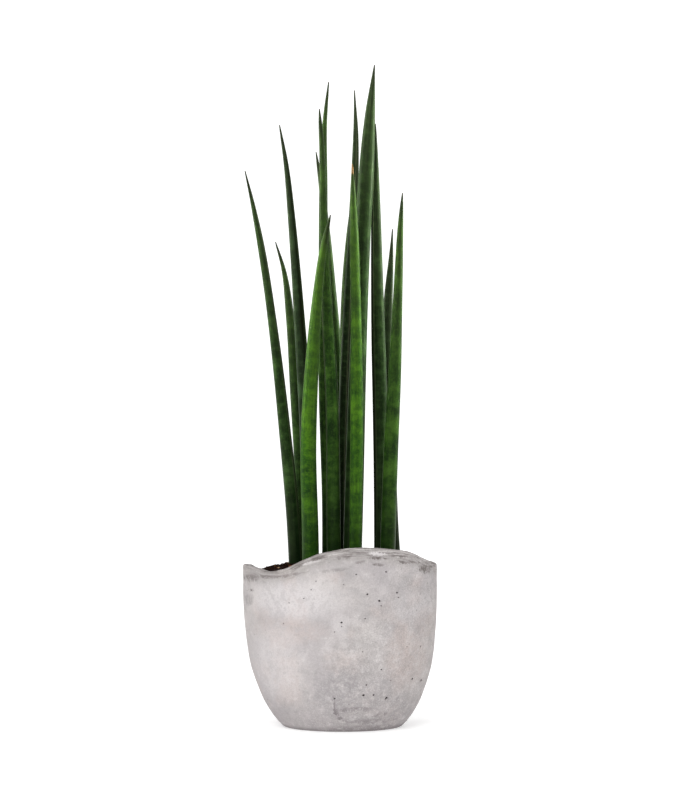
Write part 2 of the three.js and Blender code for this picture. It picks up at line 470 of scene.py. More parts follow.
# %% The scatter tree
def scatter_tree():
    tree, graph, given = new_tree("scatter", [
        ("Ground", "Geometry", None), ("Shapes", "Collection", None), ("Spacing", "Float", 0.01),
        ("Density", "Float", 1000.0), ("Smallest", "Float", 0.5), ("Largest", "Float", 1.0),
        ("Sink", "Float", 0.0), ("Tilt", "Float", 0.5), ("Seed", "Int", 1), ("Finish", "Material", None)])
    where = graph.add("GeometryNodeInputNamedAttribute", {"data_type": "FLOAT"}, {"Name": "open_ground"})
    strewn = graph.node("GeometryNodeDistributePointsOnFaces", {"distribute_method": "POISSON"},
                        {"Mesh": given["Ground"], "Distance Min": given["Spacing"],
                         "Density Max": given["Density"], "Density Factor": where, "Seed": given["Seed"]})
    normal = Wire(graph, strewn.outputs["Normal"])
    down = graph.add("ShaderNodeVectorMath", {"operation": "SCALE"},
                     {0: normal, "Scale": given["Sink"] * -1.0})
    sunk = graph.add("GeometryNodeSetPosition", None,
                     {"Geometry": Wire(graph, strewn.outputs["Points"]), "Offset": down})

    def chance(low, high, shift):
        inputs = {"Min_001": low, "Max_001": high, "Seed": given["Seed"] + shift}
        return graph.add("FunctionNodeRandomValue", {"data_type": "FLOAT"}, inputs, output=1)

    tilt = given["Tilt"]
    turn = graph.add("ShaderNodeCombineXYZ", None, {0: chance(-1.0, 1.0, 1) * tilt,
                                                    1: chance(-1.0, 1.0, 2) * tilt,
                                                    2: chance(0.0, math.tau, 3)})
    spin = graph.add("FunctionNodeEulerToRotation", None, {0: turn})
    turned = graph.add("FunctionNodeRotateRotation", {"rotation_space": "LOCAL"},
                       {"Rotation": Wire(graph, strewn.outputs["Rotation"]), "Rotate By": spin})
    size = given["Smallest"] + (given["Largest"] - given["Smallest"]) * chance(0.0, 1.0, 4) ** 1.8
    shapes = graph.add("GeometryNodeCollectionInfo", None,
                       {"Collection": given["Shapes"], "Separate Children": True, "Reset Children": True})
    placed = graph.add("GeometryNodeInstanceOnPoints", None,
                       {"Points": sunk, "Instance": shapes, "Pick Instance": True, "Rotation": turned,
                        "Scale": size})
    toned = graph.add("GeometryNodeStoreNamedAttribute", {"data_type": "FLOAT", "domain": "INSTANCE"},
                      {"Geometry": placed, "Name": "bit_tone", "Value": chance(0.0, 1.0, 5)})
    end_tree(graph, toned, given["Finish"])
    return tree


scatter = scatter_tree()
print("scatter tree:", len(scatter.nodes), "nodes")

# %% [markdown]
# The tree needs shapes to strew. Air bubbles and crumbs are both balls that noise has made lumpy, so one
# helper makes them all. The seed shifts the noise, so that no two balls are alike.

# %% Shapes to strew
def shape_collection(name, meshes):
    """Shapes to strew. The collection is linked nowhere, so they show nowhere else."""
    shapes = bpy.data.collections.new(name)
    for k, mesh in enumerate(meshes):
        shapes.objects.link(bpy.data.objects.new(f"{name}_{k}", mesh))
    return shapes


def lumpy_ball(name, seed, subdivisions, stretch, roughness):
    """A small irregular ball, one millimetre in radius before its stretch."""
    ball = bmesh.new()
    bmesh.ops.create_icosphere(ball, subdivisions=subdivisions, radius=1.0)
    for v in ball.verts:
        v.co *= 1 + roughness * noise.noise(v.co * 1.3 + Vector((seed * 3.7, seed * 1.9, 0)))
        v.co = Vector([c * s * MM for c, s in zip(v.co, stretch)])
    mesh = bpy.data.meshes.new(name)
    ball.to_mesh(mesh)
    ball.free()
    return mesh


# %% [markdown]
# ## Air holes in the concrete
# When concrete is cast, small bubbles stay against the mould and leave open holes. Painted dots look flat
# from the side, so the holes are real: balls strewn on the outer wall are cut out of it with a Boolean.
# A few larger holes stand where the real pot has them, each with its sideways place, height and radius in
# mm. The rest follow the seed, and there are fewer of them at the front, where the larger ones are.

# %% Where the air holes are
HOLE_SPACING = 7 * MM
HOLES_PER_SQUARE_METRE = 3600
HOLE_STRETCH = (1.28, 1.28, 1.15)
FRONT_SHARE = 0.3
NOTED_HOLES = [(22, 113.5, 0.75), (31.5, 108, 0.85), (33, 104, 0.55), (46, 114, 0.85), (47, 110, 0.6),
               (37, 131, 0.65), (13, 129.5, 0.6), (3, 121.5, 0.5), (20, 94, 0.55), (1, 91, 0.8),
               (1, 88, 0.5), (17.5, 31.5, 0.9), (36, 28.5, 1.0), (35, 27.5, 0.6), (20, 40, 0.6),
               (57.5, 42.5, 0.95), (65, 40, 1.15), (-72, 114, 0.65), (-41, 106, 0.55),
               (-29, 110, 0.55), (-70, 78, 0.5)]


def wall_ground():
    """The outer wall alone, for strewing the holes."""
    wall = bmesh.new()
    wall.from_mesh(pot.data)
    inner = [f for f in wall.faces
             if Vector((f.normal.x, f.normal.y, 0)).dot(Vector((f.calc_center_median().xy.to_3d()))) <= 0
             or f.calc_center_median().z < 6 * MM]
    bmesh.ops.delete(wall, geom=inner, context="FACES")
    mesh = bpy.data.meshes.new("wall_ground")
    wall.to_mesh(mesh)
    wall.free()
    sides = [FRONT_SHARE if y < -0.25 * POT_RADIUS * MM else 1.0 for _, y, _ in points_of(mesh)]
    set_attribute(mesh, "open_ground", sides)
    return mesh


print("noted holes:", len(NOTED_HOLES))

# %% [markdown]
# All the balls become one mesh, and a single exact Boolean cuts them out of the wall. One cut for each ball
# would be slow, and balls that overlap are no trouble when the solver may meet them in one mesh.

# %% Cut the air holes
balls = shape_collection("air_holes", [lumpy_ball("hole", k, 2, (1, 1, 0.9), 0.35) for k in range(4)])
cutter = new_object("hole_cutter", wall_ground())
run_tree(cutter, scatter, Shapes=balls, Spacing=HOLE_SPACING, Density=HOLES_PER_SQUARE_METRE,
         Smallest=0.22, Largest=0.95, Sink=0.05 * MM, Tilt=1.5, Seed=11)
cutter = plain_mesh(cutter, "hole_cutter")

larger = bmesh.new()
larger.from_mesh(cutter.data)
for x, z, size in NOTED_HOLES:
    r = belly(z)
    centre = Vector((x + foot_shift(z), -math.sqrt(r * r - x * x), z)) * MM
    ball = lumpy_ball("noted", x, 2, [size * factor for factor in HOLE_STRETCH], 0.3)
    for v in ball.vertices:
        v.co += centre
    larger.from_mesh(ball)
larger.to_mesh(cutter.data)
larger.free()

cut = pot.modifiers.new("air_holes", "BOOLEAN")
cut.operation = "DIFFERENCE"
cut.solver = "EXACT"
cut.use_self = True
cut.object = cutter
pot = plain_mesh(pot, "pot_shell")
bpy.data.objects.remove(cutter)
print("pot with air holes:", triangles(pot.data), "triangles")

# %% [markdown]
# The concrete's colour depends on where it is: stained along the rim, darker at the foot, partly with
# painted shade and a painted contact shadow, and with painted shade inside the holes. Those places follow
# the shape, so each point of the mesh keeps how far it is below the rim, and whether it lies in a hole, as
# attributes that the material reads.

# %% Measure each point of the pot
HOLE_STARTS = 0.32
HOLE_SLOPE = 0.3


def measured_pot(mesh):
    below, holes = [], []
    for x, y, z in points_of(mesh) / MM:
        x -= foot_shift(z)
        degrees = math.degrees(math.atan2(x, -y))
        below.append(rim_height(degrees) - z)
        depth = belly(z) - math.hypot(x, y)
        outer = below[-1] > LIP_HEIGHT and z > 5 and depth < WALL / 2
        # how deep a point lies in a hole, which sets the painted shade there
        holes.append(min(1.0, max(0.0, (depth - HOLE_STARTS) / HOLE_SLOPE)) if outer else 0.0)
    set_attribute(mesh, "below_rim", below)
    set_attribute(mesh, "hole_shade", holes)


measured_pot(pot.data)
pot.data.shade_smooth()
pot.data.set_sharp_from_angle(angle=math.radians(38))
print("points in holes:", int(sum(a.value > 0.5 for a in pot.data.attributes["hole_shade"].data)))

# %% [markdown]
# ## Concrete
# Cast concrete is never one grey. A picture wrapped round the pot would blur close up, so the finish is
# built from layers of noise, which stay sharp at any distance. First comes what the layers read: the place
# in mm, the measures kept on the mesh, and noise in several sizes. Near the rim the noise is drawn out
# along the rim, and there are fewer scratches at the left.

# %% What the concrete reads
def along_rim(g, here, lengthwise, down, roughness):
    """Noise drawn out along the rim."""
    drawn = g.add("ShaderNodeCombineXYZ", None, {0: here.sideways * lengthwise,
                                                 1: here.backwards * lengthwise, 2: here.below * down})
    return g.noise(drawn, 1.0, 3, roughness)


def read_pot(g):
    here = SimpleNamespace(place=g.add("ShaderNodeTexCoord", None, None, "Object"))
    here.below = g.attribute("below_rim")
    here.hole = g.attribute("hole_shade")
    here.sideways = g.add("ShaderNodeSeparateXYZ", None, {0: here.place}, 0) * 1000.0
    here.backwards = g.add("ShaderNodeSeparateXYZ", None, {0: here.place}, 1) * 1000.0
    here.height = g.add("ShaderNodeSeparateXYZ", None, {0: here.place}, 2) * 1000.0
    here.clouds = g.noise(here.place, 13, 3, 0.55, 0.4)
    here.blotches = g.noise(g.scaled(here.place, (1, 1, 1.3)), 48, 4, 0.6, 0.5)
    here.mottle = g.noise(here.place, 190, 4, 0.65)
    here.grain = g.noise(here.place, 900, 3, 0.6)
    layers = along_rim(g, here, 0.07, 0.42, 0.65)
    here.streaks = layers.between(0.52, 0.64) * (here.below + here.blotches * 8.0).between(19.0, 13.0)
    here.scratches = along_rim(g, here, 0.06, 0.95, 0.7)
    fewer_left = 0.4 + here.sideways.between(-60.0, 0.0) * 0.6
    here.near_rim = (here.below + here.blotches * 10.0).between(15.0, 8.0) * fewer_left
    return here


# %% [markdown]
# Warm and cool clouds lie over each other, and the foot is darker in cloudy patches. A painted shade
# darkens the whole lower part of the pot. Higher up, a stained band follows the rim, with dark and pale
# scratches in it and a worn crest. Each layer is one mix: how much, over what, and which colour.

# %% Clouds and stains
def clouded(g, here):
    warm = g.noise(g.scaled(here.place, (1.3, 1, 1)), 26, 3, 0.5, 0.3)
    colour = g.mix(here.clouds.between(0.36, 0.64), linear("#b9b3b4"), linear("#cac4c2"))
    colour = g.mix(warm.between(0.5, 0.68) * 0.5, colour, linear("#c9bab5"))
    colour = g.mix(here.blotches.between(0.46, 0.7) * 0.5, colour, linear("#aaa6a6"))
    colour = g.mix(here.blotches.between(0.46, 0.3) * 0.45, colour, linear("#d9d3d2"))
    foot_darkening = (18.0 + here.clouds * 30.0 - here.height).between(0.0, 26.0)
    colour = g.mix(foot_darkening * 0.35, colour, linear("#938d8f"))
    # painted shade: the lower part of the pot is darkened as a whole
    return g.mix(here.height.between(70.0, 20.0) * 0.22, colour, linear("#8f898a"))


def stained(g, here, colour):
    band = (here.below + (here.blotches - 0.5) * 20.0).between(15.0, 7.0)
    colour = g.mix(band * 0.62, colour, linear("#a09a97"))
    colour = g.mix(here.streaks * 0.3, colour, linear("#7c7572"))
    colour = g.mix(here.scratches.between(0.54, 0.61) * here.near_rim * 0.75, colour, linear("#6d6663"))
    colour = g.mix(here.scratches.between(0.46, 0.39) * here.near_rim * 0.6, colour, linear("#dcd7d5"))
    crest = here.below.between(1.6, 0.4) * here.blotches.between(0.35, 0.6)
    return g.mix(crest * 0.75, colour, linear("#6d6663"))


# %% [markdown]
# Watering and handling have left marks at the front: dark streaks that run with the rim, a smudge at the
# right corner, a crease above the foot. Among the marks are also painted shade, a painted highlight and a
# painted contact shadow. Noise alone would put them anywhere, so they are soft ellipses listed one by one,
# and the same noise as before makes them ragged.

# %% Marks on the front of the pot
# Each colour has its marks: sideways place, height, half width, half height (mm), tilt (degrees), strength.
# Painted light among the marks: the broad grey patches low on the pot and the narrow grey strip at its left
# edge are painted shade, the two broad pale patches at the left are a painted highlight, the widest dark
# band at the foot is a painted contact shadow, and the small dark mark on a hole at the left deepens its
# painted shade.
MARKS = {
    "#a5a0a1": [(2, 34, 27, 24, 0, 0.8), (30, 50, 48, 26, 0, 0.3), (20, 96, 8, 5, 20, 0.4),
                (34, 101, 6, 7, 0, 0.35), (41, 87, 8, 4, 0, 0.4), (6, 72, 14, 8, 0, 0.4),
                (44, 18, 36, 18, -30, 0.6), (-76, 112, 5, 14, 0, 0.5)],
    "#cdbfba": [(55, 60, 22, 26, 10, 0.5), (-40, 84, 34, 12, 0, 0.4), (70, 88, 12, 16, 0, 0.4)],
    "#e2dddd": [(-36, 108, 42, 18, 0, 0.6), (-50, 58, 24, 34, 0, 0.42), (0, 90, 8, 10, 0, 0.35),
                (60, 104, 18, 14, 0, 0.4), (30, 145.6, 9, 1.4, -3, 0.9),
                (-22, 138.8, 9, 1.2, 16, 0.6)],
    "#6d6562": [(30, 142.3, 10, 1.3, -4, 1.0), (31, 137, 4.5, 1.4, -6, 0.75),
                (51, 138.4, 8, 1.1, -12, 0.75), (4.5, 144, 6, 2.2, 8, 0.5),
                (17, 139.4, 5, 1.2, 10, 0.5), (48, 143.2, 8, 1.1, -10, 0.7),
                (-15, 143, 8, 2.0, 18, 0.75), (-33, 136.2, 7, 2.0, 25, 0.6),
                (-4, 133, 14, 1.4, 6, 0.3), (69, 131.5, 7, 3.6, -12, 1.0),
                (74, 135, 6, 2.4, -20, 0.8), (60, 138, 8, 1.2, -16, 0.6), (-72, 124, 8, 3.6, 8, 0.6),
                (-58, 126.4, 12, 1.5, 4, 0.5), (-40, 128.5, 14, 1.3, 12, 0.45),
                (-72.5, 114, 2.2, 1.2, 0, 0.6), (-74, 106, 3.0, 5, 0, 0.3)],
    "#7d7678": [(-4.9, 26, 5.6, 1.6, 96, 0.85), (-2.2, 17.6, 6.0, 1.9, 117, 0.85),
                (3.4, 10.6, 5.6, 2.2, 138, 0.85), (12.5, 20, 14, 2.2, 2, 0.6),
                (33, 14.5, 8, 1.9, 4, 0.55), (27, 9, 24, 2.6, 0, 0.5), (22, 3, 40, 3.4, 0, 0.5)]}
print("marks:", sum(len(marks) for marks in MARKS.values()))


def marked(g, here, colour):
    """Puts the marks on a colour. Noise moves them off their ellipses and wears them thin."""
    by_rim = here.scratches.between(0.38, 0.56) * here.near_rim
    elsewhere = here.mottle.between(0.36, 0.6) * (1.0 - here.near_rim)
    at_front = here.backwards.between(15.0, -15.0)
    ragged = (0.45 + (by_rim + elsewhere) * 0.8) * at_front
    across = here.sideways + ((here.mottle - 0.5) * 9.0 + (here.blotches - 0.5) * 9.0)
    up = here.height + ((here.grain - 0.5) * 2.4 + (here.mottle - 0.5) * 3.6)
    for tint, marks in MARKS.items():
        cover = 0.0
        for x, z, half_width, half_height, tilt, strength in marks:
            c, s = math.cos(math.radians(tilt)), math.sin(math.radians(tilt))
            with_mark = across * (c / half_width) + up * (s / half_width) - (x * c + z * s) / half_width
            across_mark = up * (c / half_height) - across * (s / half_height) - (z * c - x * s) / half_height
            distance = with_mark * with_mark + across_mark * across_mark
            cover = distance.between(1.3, 0.1).math("MULTIPLY", strength).math("MAXIMUM", cover)
        colour = g.mix(cover * ragged, colour, linear(tint))
    return colour


# %% [markdown]
# The smallest things come last, over everything else: mottling, sandy grain that is stronger at the right,
# a painted contact shadow along the edge of the foot, and painted shade inside each hole. The same noise
# that colours the wall also drives its bumps, so that colour and relief lie in the same places.

# %% Grain, and the whole finish
def grained(g, here, colour):
    colour = g.mix(here.mottle.between(0.52, 0.72) * 0.3, colour, linear("#8f8988"))
    colour = g.mix(here.mottle.between(0.46, 0.3) * 0.25, colour, linear("#ded9d8"))
    right = (here.sideways - here.height * 0.6 + here.clouds * 60.0).between(-50.0, 40.0)
    patches = g.noise(here.place, 120, 3, 0.6)
    colour = g.mix(patches.between(0.52, 0.68) * right * 0.3, colour, linear("#a19b9a"))
    colour = g.mix(patches.between(0.47, 0.33) * right * 0.3, colour, linear("#dcd7d6"))
    sandy = 0.12 + right * 0.18
    colour = g.mix(here.grain.between(0.46, 0.64) * sandy, colour, linear("#8b8584"))
    colour = g.mix(here.grain.between(0.46, 0.34) * sandy, colour, linear("#e6e2e1"))
    # painted contact shadow: the lowest few millimetres of the pot are darkened
    colour = g.mix(here.height.between(4.5, 0.5) * 0.6, colour, linear("#6f696a"))
    # painted shade: the inside of each hole is darkened
    return g.mix(here.hole * 0.95, colour, linear("#3a3534"))


def concrete():
    material, g = new_material("concrete")
    here = read_pot(g)
    colour = grained(g, here, marked(g, here, stained(g, here, clouded(g, here))))
    rough = 0.84 + (here.mottle - 0.5) * 0.2
    relief = g.bump(here.grain, 0.4, 0.0004)
    relief = g.bump(here.mottle + here.streaks * 0.8, 0.5, 0.0009, relief)
    relief = g.bump(here.blotches, 0.35, 0.002, relief)
    finish_material(g, **{"Base Color": colour, "Roughness": rough, "Normal": relief})
    return material


pot.data.materials.clear()
pot.data.materials.append(concrete())
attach(pot, "root")
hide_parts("pot")
print("concrete:", len(pot.data.materials[0].node_tree.nodes), "nodes")

# %% [markdown]
# ## The bed of potting mix
# Potting mix is heaped a little in the middle and lies lower at the wall. Its height is a formula and not a
# sculpted shape, because the crumbs need it later too: they are strewn only on top of the bed.

# %% The soil's height
SOIL_PEAK = 137.5
BELOW_RIM = 3.4
EDGE_HEIGHT = 126.5


def soil_height(x, y):
    edge = min(rim_height(math.degrees(math.atan2(x, -y))) - BELOW_RIM, EDGE_HEIGHT)
    inner = max(0.0, 1 - (math.hypot(x, y) / (POT_RADIUS - WALL)) ** 2.2)
    lumps = math.sin(x * 0.21 + 1.3) * math.cos(y * 0.17 - 0.4) + 0.6 * math.sin(x * 0.11 - y * 0.23)
    return edge + (SOIL_PEAK - edge) * inner + lumps * min(1.0, inner * 2.5)


print("soil in the middle of the pot:", round(soil_height(0, 0), 1), "mm high")

# %% [markdown]
# A round grid of points takes that mound, with lumps from noise. It gets a skirt and a flat underside, so
# that it is a closed body, and it stays a hair away from the pot's wall.

# %% Heap the soil
SOIL_RADIUS = 71.7
SOIL_SIDES = 200
SOIL_RINGS = 62
CALM_WIDTH = 16
SKIRT_DROPS = (4.0, 12.0)
UNDERSIDE = 116


def soil_mesh():
    verts, faces = [], []
    for level in range(SOIL_RINGS + 1):
        radius = SOIL_RADIUS * (level + 1) / (SOIL_RINGS + 1)
        for k in range(SOIL_SIDES):
            turn = math.tau * k / SOIL_SIDES
            x, y = radius * math.sin(turn), -radius * math.cos(turn)
            rough = 0.9 * noise.noise(Vector((x, y, 0)) * 0.16) + 0.7 * noise.noise(Vector((x, y, 5)) * 0.45)
            rough *= min(1.0, (SOIL_RADIUS - radius) / CALM_WIDTH)
            verts.append((x, y, soil_height(x, y) + rough))
    for drop in SKIRT_DROPS:
        rim = verts[SOIL_RINGS * SOIL_SIDES:(SOIL_RINGS + 1) * SOIL_SIDES]
        verts += [(x, y, z - drop) for x, y, z in rim]
    levels = len(verts) // SOIL_SIDES
    for level in range(levels - 1):
        for k in range(SOIL_SIDES):
            a, b = level * SOIL_SIDES + k, level * SOIL_SIDES + (k + 1) % SOIL_SIDES
            faces.append((a, a + SOIL_SIDES, b + SOIL_SIDES, b))
    for level, z, order in ((0, soil_height(0, 0), 1), (levels - 1, UNDERSIDE, -1)):
        verts.append((0, 0, z))
        for k in range(SOIL_SIDES):
            a, b = level * SOIL_SIDES + k, level * SOIL_SIDES + (k + 1) % SOIL_SIDES
            faces.append((a, b, len(verts) - 1)[::order])
    mesh = bpy.data.meshes.new("soil_bed")
    mesh.from_pydata([tuple(c * MM for c in v) for v in verts], [], faces)
    mesh.shade_smooth()
    return mesh


soil = new_object("soil_bed", soil_mesh())
print("soil bed:", triangles(soil.data), "triangles")

# %% [markdown]
# ## The leaves' lines
# Each leaf was measured from foot to tip. Its row holds the height of its tip, how far its foot and its tip
# lie to the back, its sideways place at seven shares of its length, and its thickness at seven shares. Four
# more lists say which way its channel faces, in degrees from the front to the right, how wide the channel
# is in radians, how many millimetres of its tip are dry, and how light a green it has.

# %% The leaves, in mm
LEAF_FOOT = 100.0
LEAN_POWER = 1.35
TIP_THICKNESS = 0.9
PLACE_AT = [0, 0.2, 0.4, 0.6, 0.8, 0.92, 1]
THICK_AT = [0, 0.25, 0.5, 0.7, 0.82, 0.91, 0.97, 1]
LEAVES = [
    (455.6, -8, -26, [-34.8, -38.4, -45.1, -52.9, -62.8, -70.9, -77.5], [11.9, 11.1, 9, 6.9, 5.9, 3.9, 2]),
    (400, 10, 24, [-28.2, -31.3, -33.1, -37.3, -41.8, -46.7, -53.7], [10.8, 10.7, 9.9, 7.9, 6.5, 4.1, 2.1]),
    (495.4, -4, 0, [-20.4, -25.2, -28.3, -33.4, -39.6, -44.5, -49.9], [12.4, 11.9, 10.4, 8, 6.2, 4.4, 2.4]),
    (418.9, -22, -40, [-23.4, -24.4, -25.8, -23.2, -18, -13.2, -7.7], [14.1, 13.6, 12.5, 10, 7.7, 5.7, 3.1]),
    (531.6, 4, 8, [-9.6, -9.7, -12.7, -13.6, -13.7, -12.6, -9.4], [10.9, 10.5, 9.1, 7.6, 6.6, 4.2, 2.4]),
    (506.9, -14, -18, [-4.6, -5.5, -6.5, -10.6, -13.8, -14.9, -16.9],
     [11.6, 11.5, 10.2, 7.8, 5.9, 4.6, 3.1]),
    (477.4, 38, 56, [11.5, 6.3, 1.5, -4.2, -10.7, -15.6, -20.2], [10.1, 10, 9.4, 7.5, 6.4, 4.8, 2.7]),
    (525, 10, 12, [4.2, 2.6, 4.5, 7.9, 11.9, 13.1, 12], [10.8, 10.5, 9.7, 8.2, 6.7, 4.7, 2.1]),
    (543.6, -8, -12, [9.2, 11.5, 14, 17.1, 21.6, 25.1, 28.3], [15.5, 15.4, 13.6, 12.6, 12, 8.2, 3.5]),
    (460.3, -26, -40, [11.9, 12.8, 13.4, 13.2, 11.8, 10.6, 10], [9.7, 10.5, 10.3, 8.6, 7.7, 5.3, 2.6]),
    (435.6, 24, 34, [6.5, 5.6, 4.9, 4, 5.1, 7.4, 9.6], [10, 10, 9.4, 8.1, 6.2, 4, 2]),
    (496.5, 2, 4, [34.3, 34.1, 33.1, 31.2, 29.8, 29.4, 29.3], [12.2, 12.1, 11.9, 9.7, 7.7, 5.1, 2.6]),
    (437.4, -15, -30, [38.1, 39.7, 42, 45.3, 47.8, 49.3, 50.9], [12.3, 12.3, 11.4, 8.4, 6.7, 4.9, 2.7]),
    (411.1, 18, 30, [47.5, 43.1, 41.3, 39.3, 40.1, 42.5, 43.8], [11.6, 11.1, 9.4, 8.2, 7.2, 4.4, 2])]
# The wider channels of leaves 1, 3 and 8 face the front right, so that their painted shade darkens that
# side.
CHANNEL_SIDES = [76, 160, 64, 165, 140, -84, 150, 58, -110, -100, 160, -62, 170, 180]
CHANNEL_WIDTHS = [0.55, 0.42, 0.9, 0.42, 0.42, 0.42, 0.42, 0.85, 0.42, 0.42, 0.42, 0.42, 0.42, 0.42]
DRY_TIPS = [3, 2, 2, 3, 3, 3, 2, 3, 4, 9, 2, 2, 4, 3]
GREENS = [0.15, 0.26, 0.0, 0.92, 0.38, 0.36, 0.22, 0.06, 0.14, 0.79, 0.26, 0.1, 0.42, 0.05]
SLOTS = {"dark": 0.13, "mid": 0.7, "bright": 1.1}  # each slot holds the greens below its limit
print("leaves:", len(LEAVES), "and the tallest tip is at", max(leaf[0] for leaf in LEAVES), "mm")

# %% [markdown]
# A curve object can carry such a line: its points hold the places, and the radius at each point holds half
# the thickness. The points lie closer together towards the tip, where the leaf narrows fastest. The line
# starts below the soil, as the solid does.

# %% A leaf's line
LINE_POINTS = 110


def leaf_line(leaf):
    """Points (place in mm, thickness in mm) from the foot to the tip, closer together near the tip."""
    tip, foot_y, tip_y, across, thick = leaf
    sideways = curve_through(PLACE_AT, across)
    thickness = curve_through(THICK_AT, thick + [TIP_THICKNESS])
    for k in range(LINE_POINTS + 1):
        t = 1 - (1 - k / LINE_POINTS) ** 1.35
        place = Vector((sideways(t), foot_y + (tip_y - foot_y) * t ** LEAN_POWER,
                        LEAF_FOOT + (tip - LEAF_FOOT) * t))
        yield place, thickness(t)


def line_object(name, points):
    data = bpy.data.curves.new(name, "CURVE")
    data.dimensions = "3D"
    spline = data.splines.new("POLY")
    spline.points.add(len(points) - 1)
    for point, (place, thickness) in zip(spline.points, points):
        point.co = (place * MM).to_4d()
        point.radius = thickness / 2 * MM
    return new_object(name, data)


print("the tallest leaf's line has", len(list(leaf_line(max(LEAVES, key=lambda leaf: leaf[0])))), "points")

# %% [markdown]
# ## A tree that grows a leaf
# A mikado leaf is a slim rod with one shallow channel and faint ribs along it. That is a rule, so a tree can
# grow it. It starts with the leaf's section: a circle of points, each drawn in a little where it lies in the
# channel and moved a little in or out by the ribs.

# %% The leaf's section
def keep(graph, geometry, name, value, kind="FLOAT"):
    """Stores a value under a name on every point."""
    settings = {"data_type": kind, "domain": "POINT"}
    values = {"Geometry": geometry, "Name": name, "Value": value}
    return graph.add("GeometryNodeStoreNamedAttribute", settings, values)


def channelled_ring(graph, given):
    ring = graph.add("GeometryNodeCurvePrimitiveCircle", None, {"Resolution": given["Sides"], "Radius": 1.0})
    spot = graph.add("GeometryNodeInputPosition")
    x = graph.add("ShaderNodeSeparateXYZ", None, {0: spot}, 0)
    y = graph.add("ShaderNodeSeparateXYZ", None, {0: spot}, 1)
    turn = given["Channel Turn"]
    nearness = x * turn.math("COSINE") + y * turn.math("SINE")
    edge = given["Channel Width"].math("COSINE")
    inside = ((nearness - edge) / (1.0 - edge)).clamped()
    ridge = (nearness - edge).math("ABSOLUTE").between(0.05, 0.0)
    ribs = (y.math("ARCTAN2", x) * given["Rib Count"]).math("COSINE")
    reach = 1.0 - inside ** 1.5 * given["Channel Depth"] + ridge * 0.025 + ribs * given["Rib Depth"]
    dented = graph.add("ShaderNodeVectorMath", {"operation": "SCALE"}, {0: spot, "Scale": reach})
    ring = keep(graph, ring, "section", spot, "FLOAT_VECTOR")
    ring = keep(graph, ring, "ridge", ridge)
    ring = keep(graph, ring, "channel", inside)
    return graph.add("GeometryNodeSetPosition", None, {"Geometry": ring, "Position": dented})


# %% [markdown]
# The tree sweeps the section along the leaf's line and scales it by the leaf's thickness. It also keeps on
# every point where it is round the leaf and along it, because the leaf's pattern follows its skin.

# %% The leaf tree
def leaf_tree():
    tree, graph, given = new_tree("leaf", [
        ("Line", "Geometry", None), ("Sides", "Int", 40), ("Channel Turn", "Float", 0.0),
        ("Channel Depth", "Float", 0.16), ("Channel Width", "Float", 0.42), ("Rib Depth", "Float", 0.008),
        ("Rib Count", "Float", 9.0), ("Dry Tip", "Float", 0.002),
        ("Green", "Float", 0.5), ("Seed", "Float", 0.0), ("Finish", "Material", None)])
    spline = graph.node("GeometryNodeSplineParameter")
    factor, length = Wire(graph, spline.outputs["Factor"]), Wire(graph, spline.outputs["Length"])
    whole = graph.add("GeometryNodeSplineLength")
    line = keep(graph, given["Line"], "along", length)
    line = keep(graph, line, "from_tip", whole * (1.0 - factor))
    line = graph.add("GeometryNodeSetCurveNormal", {"mode": "FREE"}, {"Curve": line, "Normal": (0, -1, 0)})

    ring = channelled_ring(graph, given)
    radius = graph.add("GeometryNodeInputRadius")
    skin = graph.add("GeometryNodeCurveToMesh", None,
                     {"Curve": line, "Profile Curve": ring, "Scale": radius, "Fill Caps": True})
    skin = keep(graph, skin, "green", given["Green"])
    skin = keep(graph, skin, "leaf_seed", given["Seed"])
    skin = keep(graph, skin, "dry_tip", given["Dry Tip"])
    skin = graph.add("GeometryNodeSetShadeSmooth", None, {"Geometry": skin})
    end_tree(graph, skin, given["Finish"])
    return tree


leaf_rule = leaf_tree()
print("leaf tree:", len(leaf_rule.nodes), "nodes")

# %% [markdown]
# ## Leaf skin
# The pattern of a leaf runs round it and along it, and a pattern in plain space would cut across it. So the
# noise reads the attributes that the tree kept: the spot on the section and the length along the leaf. Each
# leaf's seed moves it to another part of the noise, so that no two leaves are alike.

# %% What the leaf skin reads
def read_leaf(g):
    here = SimpleNamespace(green=g.attribute("green"), ridge=g.attribute("ridge"))
    here.along = g.attribute("along") * 1000.0
    here.tip = g.attribute("from_tip") * 1000.0
    here.dry = g.attribute("dry_tip") * 1000.0
    here.groove = g.attribute("channel").between(0.0, 0.25)
    section, seed = g.attribute("section", "Vector"), g.attribute("leaf_seed")
    x = g.add("ShaderNodeSeparateXYZ", None, {0: section}, 0)
    y = g.add("ShaderNodeSeparateXYZ", None, {0: section}, 1)

    def pattern(around, lengthwise, shift, detail, roughness):
        """Noise on the skin: around the leaf in radii, lengthwise per mm."""
        spot = g.add("ShaderNodeCombineXYZ", None, {0: x * around + seed * 7.3, 1: y * around + shift,
                                                    2: here.along * lengthwise + seed * 13.7})
        return g.noise(spot, 1.0, detail, roughness)

    here.bands = pattern(0.2, 0.058, 0.0, 1, 0.5)
    here.blots = pattern(1.3, 0.2, 5.0, 2, 0.5)
    here.strokes = pattern(2.6, 0.018, 3.0, 2, 0.5)
    here.specks = pattern(4.5, 0.8, 9.0, 3, 0.6)
    here.lines = pattern(9.0, 0.12, 0.0, 2, 0.6)
    here.fine = pattern(26.0, 0.45, 0.0, 2, 0.6)
    here.dashes = pattern(0.6, 0.24, 12.0, 2, 0.55)
    here.deep = g.mix(here.green, linear("#080f09"), linear("#153410"))
    here.light = g.mix(here.green, linear("#304529"), linear("#527f14"))
    return here


# %% [markdown]
# The skin is dark green with soft cross bands, where the green turns to lime and back to a bluish dark.
# Small blots, specks and broken lines lie on top. Most of them darken the skin at one end of their noise and
# lighten it at the other, so that the mean tone hardly changes.

